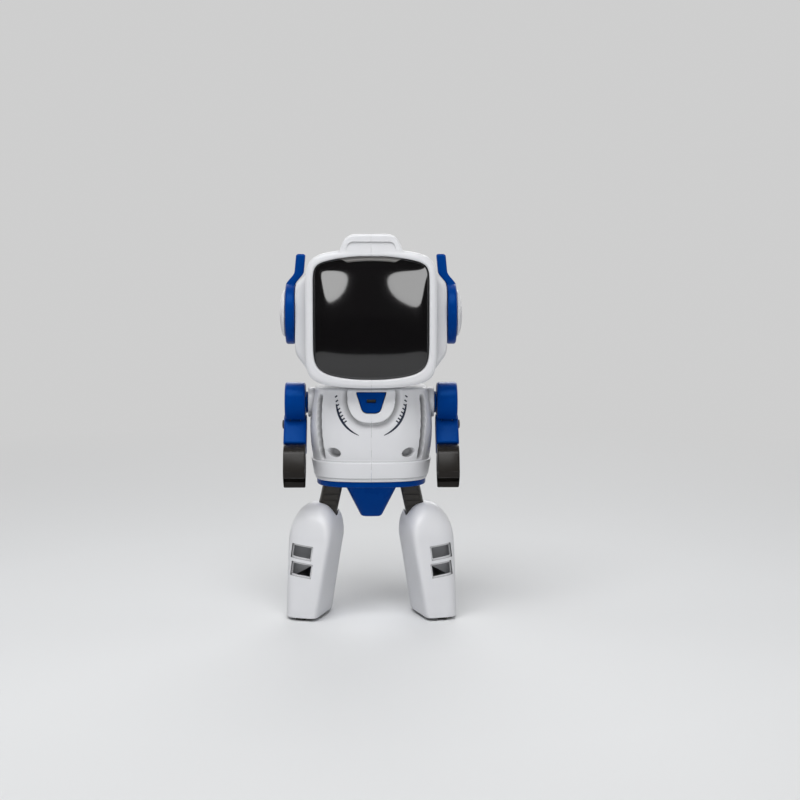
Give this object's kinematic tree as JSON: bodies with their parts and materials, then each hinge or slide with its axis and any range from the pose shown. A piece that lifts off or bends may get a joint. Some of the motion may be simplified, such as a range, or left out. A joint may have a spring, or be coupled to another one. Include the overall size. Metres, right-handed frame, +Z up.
{
  "type": "toy robot",
  "caption": "Upright toy robot with a dark visor helmet, round ear discs with fins, jointed arms with open claws, and domed boots that hide a drive wheel.",
  "frame": {"origin": "on the floor under the middle of the robot's outline", "axes": "+Z up, the robot faces -Y, its right side is -X"},
  "size_m": [0.0974, 0.07, 0.2057],
  "materials": {
    "white_shell": "smooth cool white, light gloss",
    "visor_gloss": "polished near-black",
    "blue_plastic": "glossy deep blue",
    "dark_plastic": "satin brown-black",
    "tyre_rubber": "matte black",
    "steel": "plain steel",
    "circuit_board": "green laminate",
    "lamp_clear": "clear lens",
    "cell_wrap": "plain printed wrap"
  },
  "bodies": {
    "torso": {"torso_right_half": "white_shell", "torso_left_half": "white_shell", "battery_door": "white_shell", "right_boot": "white_shell", "left_boot": "white_shell", "chest_window": "blue_plastic", "pelvis": "blue_plastic", "right_shoulder_disc": "blue_plastic", "left_shoulder_disc": "blue_plastic", "neck_post": "dark_plastic", "receiver": "dark_plastic", "speaker": "dark_plastic", "battery_box": "dark_plastic", "power_switch_body": "dark_plastic", "right_leg": "dark_plastic", "left_leg": "dark_plastic", "right_sole": "dark_plastic", "left_sole": "dark_plastic", "right_gearbox": "dark_plastic", "left_gearbox": "dark_plastic", "torso_screw_1": "steel", "torso_screw_2": "steel", "battery_door_screw": "steel", "right_leg_screw": "steel", "left_leg_screw": "steel", "right_motor": "steel", "left_motor": "steel", "main_board": "circuit_board", "battery_cell_1": "cell_wrap", "battery_cell_2": "cell_wrap", "battery_cell_3": "cell_wrap"},
    "head": {"helmet_right_half": "white_shell", "helmet_left_half": "white_shell", "visor": "visor_gloss", "eye_board": "circuit_board", "right_eye_lamps": "lamp_clear", "left_eye_lamps": "lamp_clear", "right_ear_disc": "blue_plastic", "left_ear_disc": "blue_plastic", "right_ear_cap": "white_shell", "left_ear_cap": "white_shell", "helmet_screw_1": "steel", "helmet_screw_2": "steel"},
    "power_knob": {"power_switch_knob": "dark_plastic"},
    "right_arm": {"right_upper_arm": "blue_plastic", "right_shoulder_clip": "steel", "right_elbow_pin": "dark_plastic"},
    "right_hand": {"right_forearm": "blue_plastic", "right_claw": "dark_plastic"},
    "right_wheel": {"right_wheel_hub": "dark_plastic", "right_tyre": "tyre_rubber"},
    "left_arm": {"left_upper_arm": "blue_plastic", "left_shoulder_clip": "steel", "left_elbow_pin": "dark_plastic"},
    "left_hand": {"left_forearm": "blue_plastic", "left_claw": "dark_plastic"},
    "left_wheel": {"left_wheel_hub": "dark_plastic", "left_tyre": "tyre_rubber"}
  },
  "joints": [
    {"name": "head_turn", "type": "hinge", "parent": "torso", "child": "head", "pos_m": [0, 0, 0.125], "axis": [0, 0, 1], "range_deg": [-35, 35]},
    {"name": "right_shoulder", "type": "hinge", "parent": "torso", "child": "right_arm", "pos_m": [-0.0408, 0, 0.1155], "axis": [-1, 0, 0], "range_deg": [-40, 70]},
    {"name": "right_elbow", "type": "hinge", "parent": "right_arm", "child": "right_hand", "pos_m": [-0.0408, 0, 0.1035], "axis": [-1, 0, 0], "range_deg": [-30, 15]},
    {"name": "right_wheel", "type": "hinge", "parent": "torso", "child": "right_wheel", "pos_m": [-0.0332, -0.002, 0.009], "axis": [1, 0, 0], "continuous": true},
    {"name": "left_shoulder", "type": "hinge", "parent": "torso", "child": "left_arm", "pos_m": [0.0408, 0, 0.1155], "axis": [-1, 0, 0], "range_deg": [-40, 70]},
    {"name": "left_elbow", "type": "hinge", "parent": "left_arm", "child": "left_hand", "pos_m": [0.0408, 0, 0.1035], "axis": [-1, 0, 0], "range_deg": [-30, 15]},
    {"name": "left_wheel", "type": "hinge", "parent": "torso", "child": "left_wheel", "pos_m": [0.0332, -0.002, 0.009], "axis": [1, 0, 0], "continuous": true},
    {"name": "power_switch", "type": "slide", "parent": "torso", "child": "power_knob", "axis": [1, 0, 0], "range_m": [0, 0.003]}
  ]
}
